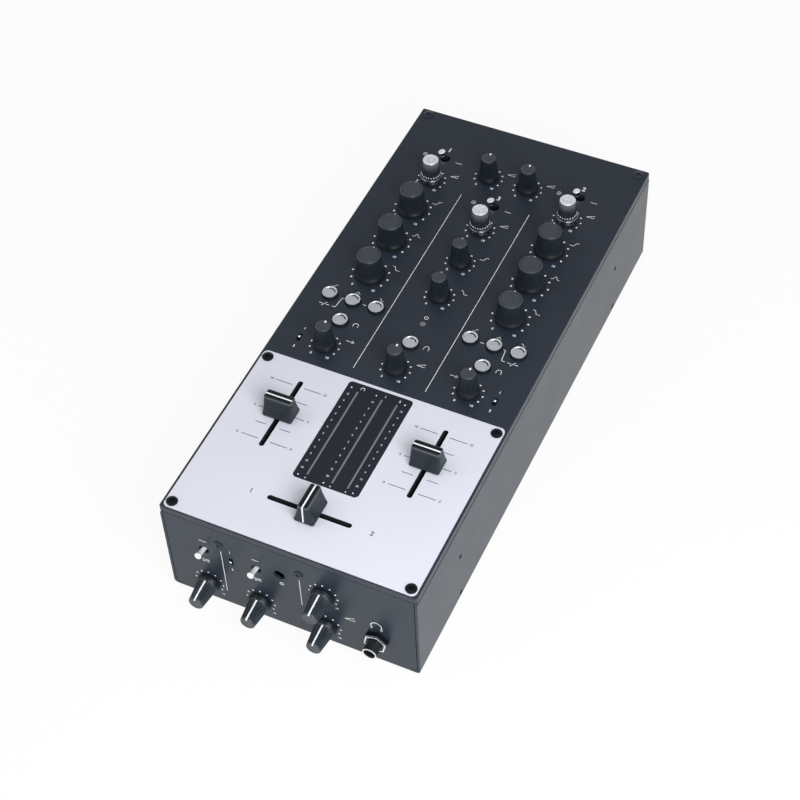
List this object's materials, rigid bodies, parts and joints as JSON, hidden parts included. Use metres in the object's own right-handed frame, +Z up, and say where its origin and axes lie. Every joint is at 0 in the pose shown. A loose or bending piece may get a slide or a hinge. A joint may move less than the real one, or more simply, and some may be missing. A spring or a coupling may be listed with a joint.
{
  "type": "dj mixer",
  "caption": "Compact two-channel DJ mixer with rotary tone and level knobs, channel faders, a crossfader, cut and cue buttons, toggles and a meter window.",
  "frame": {"origin": "middle of the footprint, on the surface the feet stand on", "axes": "+X to the right of the user, +Y to the rear, +Z up"},
  "size_m": [0.15, 0.3684, 0.0911],
  "materials": {
    "case_paint": "satin powder coat",
    "top_paint": "fine satin paint",
    "plate_silver": "pale satin anodised",
    "smoked": "smoked gloss",
    "light_bar": "diffuse grey",
    "black_steel": "black oxide",
    "rubber": "matt",
    "knob_dark": "satin moulded",
    "knob_bright": "bright",
    "button_silver": "silver lacquer",
    "lever_chrome": "polished",
    "slide_white": "satin",
    "cap_grey": "satin moulded",
    "board_green": "solder mask",
    "tin": "plain tinned",
    "switch_black": "moulded",
    "core_iron": "varnished laminations",
    "socket_plating": "nickel",
    "rocker_black": "gloss moulded"
  },
  "bodies": {
    "case": {"base_chassis": "case_paint", "front_panel": "case_paint", "rear_panel": "case_paint", "top_panel": "top_paint", "fader_plate": "plate_silver", "meter_window": "smoked", "meter_lights": "light_bar", "plate_screws": "black_steel", "case_screws": "black_steel", "rubber_feet": "rubber", "potentiometers": "tin", "push_switches": "switch_black", "lever_switches": "switch_black", "fader_units": "tin", "circuit_boards": "board_green", "headphone_jack": "socket_plating", "rear_sockets": "socket_plating", "mains_inlet": "switch_black", "power_transformer": "core_iron"},
    "knob_gain_1": {"knob_gain_1": "knob_bright"},
    "knob_gain_2": {"knob_gain_2": "knob_bright"},
    "knob_gain_3": {"knob_gain_3": "knob_bright"},
    "knob_master": {"knob_master": "knob_dark"},
    "knob_booth": {"knob_booth": "knob_dark"},
    "knob_high_1": {"knob_high_1": "knob_dark"},
    "knob_mid_1": {"knob_mid_1": "knob_dark"},
    "knob_low_1": {"knob_low_1": "knob_dark"},
    "knob_high_2": {"knob_high_2": "knob_dark"},
    "knob_mid_2": {"knob_mid_2": "knob_dark"},
    "knob_low_2": {"knob_low_2": "knob_dark"},
    "knob_high_3": {"knob_high_3": "knob_dark"},
    "knob_low_3": {"knob_low_3": "knob_dark"},
    "knob_effect_1": {"knob_effect_1": "knob_dark"},
    "knob_effect_2": {"knob_effect_2": "knob_dark"},
    "knob_level_3": {"knob_level_3": "knob_dark"},
    "knob_fader_curve": {"knob_fader_curve": "knob_dark"},
    "knob_cross_curve": {"knob_cross_curve": "knob_dark"},
    "knob_cue_mix": {"knob_cue_mix": "knob_dark"},
    "knob_phones_level": {"knob_phones_level": "knob_dark"},
    "fader_cap_1": {"fader_cap_1": "cap_grey"},
    "fader_cap_2": {"fader_cap_2": "cap_grey"},
    "fader_cap_cross": {"fader_cap_cross": "cap_grey"},
    "toggle_input_1": {"toggle_input_1": "lever_chrome"},
    "toggle_input_2": {"toggle_input_2": "lever_chrome"},
    "toggle_input_3": {"toggle_input_3": "lever_chrome"},
    "toggle_fader_reverse": {"toggle_fader_reverse": "lever_chrome"},
    "toggle_cross_reverse": {"toggle_cross_reverse": "lever_chrome"},
    "slide_effect_1": {"slide_effect_1": "slide_white"},
    "slide_effect_2": {"slide_effect_2": "slide_white"},
    "slide_front": {"slide_front": "slide_white"},
    "button_high_1": {"button_high_1": "button_silver"},
    "button_mid_1": {"button_mid_1": "button_silver"},
    "button_low_1": {"button_low_1": "button_silver"},
    "button_high_2": {"button_high_2": "button_silver"},
    "button_mid_2": {"button_mid_2": "button_silver"},
    "button_low_2": {"button_low_2": "button_silver"},
    "button_cue_1": {"button_cue_1": "button_silver"},
    "button_cue_2": {"button_cue_2": "button_silver"},
    "button_cue_3": {"button_cue_3": "button_silver"},
    "power_rocker": {"power_rocker": "rocker_black"}
  },
  "joints": [
    {"name": "knob_gain_1_turn", "type": "hinge", "parent": "case", "child": "knob_gain_1", "pos_m": [-0.044, 0.1119, 0.0743], "axis": [0, 0, 1], "range_deg": [-150, 150]},
    {"name": "knob_gain_2_turn", "type": "hinge", "parent": "case", "child": "knob_gain_2", "pos_m": [0.044, 0.1119, 0.0743], "axis": [0, 0, 1], "range_deg": [-150, 150]},
    {"name": "knob_gain_3_turn", "type": "hinge", "parent": "case", "child": "knob_gain_3", "pos_m": [0, 0.0845, 0.0743], "axis": [0, 0, 1], "range_deg": [-150, 150]},
    {"name": "knob_master_turn", "type": "hinge", "parent": "case", "child": "knob_master", "pos_m": [-0.0127, 0.1266, 0.0743], "axis": [0, 0, 1], "range_deg": [-150, 150]},
    {"name": "knob_booth_turn", "type": "hinge", "parent": "case", "child": "knob_booth", "pos_m": [0.0127, 0.1266, 0.0743], "axis": [0, 0, 1], "range_deg": [-150, 150]},
    {"name": "knob_high_1_turn", "type": "hinge", "parent": "case", "child": "knob_high_1", "pos_m": [-0.044, 0.0845, 0.0743], "axis": [0, 0, 1], "range_deg": [-150, 150]},
    {"name": "knob_mid_1_turn", "type": "hinge", "parent": "case", "child": "knob_mid_1", "pos_m": [-0.044, 0.05525, 0.0743], "axis": [0, 0, 1], "range_deg": [-150, 150]},
    {"name": "knob_low_1_turn", "type": "hinge", "parent": "case", "child": "knob_low_1", "pos_m": [-0.044, 0.026, 0.0743], "axis": [0, 0, 1], "range_deg": [-150, 150]},
    {"name": "knob_high_2_turn", "type": "hinge", "parent": "case", "child": "knob_high_2", "pos_m": [0.044, 0.0845, 0.0743], "axis": [0, 0, 1], "range_deg": [-150, 150]},
    {"name": "knob_mid_2_turn", "type": "hinge", "parent": "case", "child": "knob_mid_2", "pos_m": [0.044, 0.05525, 0.0743], "axis": [0, 0, 1], "range_deg": [-150, 150]},
    {"name": "knob_low_2_turn", "type": "hinge", "parent": "case", "child": "knob_low_2", "pos_m": [0.044, 0.026, 0.0743], "axis": [0, 0, 1], "range_deg": [-150, 150]},
    {"name": "knob_high_3_turn", "type": "hinge", "parent": "case", "child": "knob_high_3", "pos_m": [0, 0.05525, 0.0743], "axis": [0, 0, 1], "range_deg": [-150, 150]},
    {"name": "knob_low_3_turn", "type": "hinge", "parent": "case", "child": "knob_low_3", "pos_m": [0, 0.026, 0.0743], "axis": [0, 0, 1], "range_deg": [-150, 150]},
    {"name": "knob_effect_1_turn", "type": "hinge", "parent": "case", "child": "knob_effect_1", "pos_m": [-0.044, -0.0334, 0.0743], "axis": [0, 0, 1], "range_deg": [-150, 150]},
    {"name": "knob_effect_2_turn", "type": "hinge", "parent": "case", "child": "knob_effect_2", "pos_m": [0.044, -0.0334, 0.0743], "axis": [0, 0, 1], "range_deg": [-150, 150]},
    {"name": "knob_level_3_turn", "type": "hinge", "parent": "case", "child": "knob_level_3", "pos_m": [0, -0.0334, 0.0743], "axis": [0, 0, 1], "range_deg": [-150, 150]},
    {"name": "knob_fader_curve_turn", "type": "hinge", "parent": "case", "child": "knob_fader_curve", "pos_m": [-0.051, -0.1688, 0.018], "axis": [0, -1, 0], "range_deg": [-150, 150]},
    {"name": "knob_cross_curve_turn", "type": "hinge", "parent": "case", "child": "knob_cross_curve", "pos_m": [-0.0194, -0.1688, 0.018], "axis": [0, -1, 0], "range_deg": [-150, 150]},
    {"name": "knob_cue_mix_turn", "type": "hinge", "parent": "case", "child": "knob_cue_mix", "pos_m": [0.0202, -0.1688, 0.0464], "axis": [0, -1, 0], "range_deg": [-150, 150]},
    {"name": "knob_phones_level_turn", "type": "hinge", "parent": "case", "child": "knob_phones_level", "pos_m": [0.0202, -0.1688, 0.018], "axis": [0, -1, 0], "range_deg": [-150, 150]},
    {"name": "fader_1_slide", "type": "slide", "parent": "case", "child": "fader_cap_1", "axis": [0, 1, 0], "range_m": [-0.0225, 0.0225]},
    {"name": "fader_2_slide", "type": "slide", "parent": "case", "child": "fader_cap_2", "axis": [0, 1, 0], "range_m": [-0.0225, 0.0225]},
    {"name": "crossfader_slide", "type": "slide", "parent": "case", "child": "fader_cap_cross", "axis": [1, 0, 0], "range_m": [-0.0235, 0.0215]},
    {"name": "toggle_input_1_flip", "type": "hinge", "parent": "case", "child": "toggle_input_1", "pos_m": [-0.0436, 0.132, 0.0688], "axis": [0, 1, 0], "range_deg": [0, 26]},
    {"name": "toggle_input_2_flip", "type": "hinge", "parent": "case", "child": "toggle_input_2", "pos_m": [0.0444, 0.132, 0.0688], "axis": [0, 1, 0], "range_deg": [0, 26]},
    {"name": "toggle_input_3_flip", "type": "hinge", "parent": "case", "child": "toggle_input_3", "pos_m": [0.0004, 0.1049, 0.0688], "axis": [0, 1, 0], "range_deg": [0, 26]},
    {"name": "toggle_fader_reverse_flip", "type": "hinge", "parent": "case", "child": "toggle_fader_reverse", "pos_m": [-0.051, -0.1658, 0.0475], "axis": [1, 0, 0], "range_deg": [0, 26]},
    {"name": "toggle_cross_reverse_flip", "type": "hinge", "parent": "case", "child": "toggle_cross_reverse", "pos_m": [-0.0194, -0.1658, 0.0475], "axis": [1, 0, 0], "range_deg": [0, 26]},
    {"name": "slide_effect_1_shift", "type": "slide", "parent": "case", "child": "slide_effect_1", "axis": [0, 1, 0], "range_m": [-0.0015, 0.0015]},
    {"name": "slide_effect_2_shift", "type": "slide", "parent": "case", "child": "slide_effect_2", "axis": [0, 1, 0], "range_m": [-0.0015, 0.0015]},
    {"name": "slide_front_shift", "type": "slide", "parent": "case", "child": "slide_front", "axis": [0, 0, 1], "range_m": [-0.0015, 0.0015]},
    {"name": "button_high_1_press", "type": "slide", "parent": "case", "child": "button_high_1", "axis": [0, 0, -1], "range_m": [0, 0.0015], "stiffness_N_per_m": 300, "springref_m": -0.001},
    {"name": "button_mid_1_press", "type": "slide", "parent": "case", "child": "button_mid_1", "axis": [0, 0, -1], "range_m": [0, 0.0015], "stiffness_N_per_m": 300, "springref_m": -0.001},
    {"name": "button_low_1_press", "type": "slide", "parent": "case", "child": "button_low_1", "axis": [0, 0, -1], "range_m": [0, 0.0015], "stiffness_N_per_m": 300, "springref_m": -0.001},
    {"name": "button_high_2_press", "type": "slide", "parent": "case", "child": "button_high_2", "axis": [0, 0, -1], "range_m": [0, 0.0015], "stiffness_N_per_m": 300, "springref_m": -0.001},
    {"name": "button_mid_2_press", "type": "slide", "parent": "case", "child": "button_mid_2", "axis": [0, 0, -1], "range_m": [0, 0.0015], "stiffness_N_per_m": 300, "springref_m": -0.001},
    {"name": "button_low_2_press", "type": "slide", "parent": "case", "child": "button_low_2", "axis": [0, 0, -1], "range_m": [0, 0.0015], "stiffness_N_per_m": 300, "springref_m": -0.001},
    {"name": "button_cue_1_press", "type": "slide", "parent": "case", "child": "button_cue_1", "axis": [0, 0, -1], "range_m": [0, 0.0015], "stiffness_N_per_m": 300, "springref_m": -0.001},
    {"name": "button_cue_2_press", "type": "slide", "parent": "case", "child": "button_cue_2", "axis": [0, 0, -1], "range_m": [0, 0.0015], "stiffness_N_per_m": 300, "springref_m": -0.001},
    {"name": "button_cue_3_press", "type": "slide", "parent": "case", "child": "button_cue_3", "axis": [0, 0, -1], "range_m": [0, 0.0015], "stiffness_N_per_m": 300, "springref_m": -0.001},
    {"name": "power_rocker_tip", "type": "hinge", "parent": "case", "child": "power_rocker", "pos_m": [0.016, 0.1693, 0.03715], "axis": [-1, 0, 0], "range_deg": [0, 16]}
  ]
}
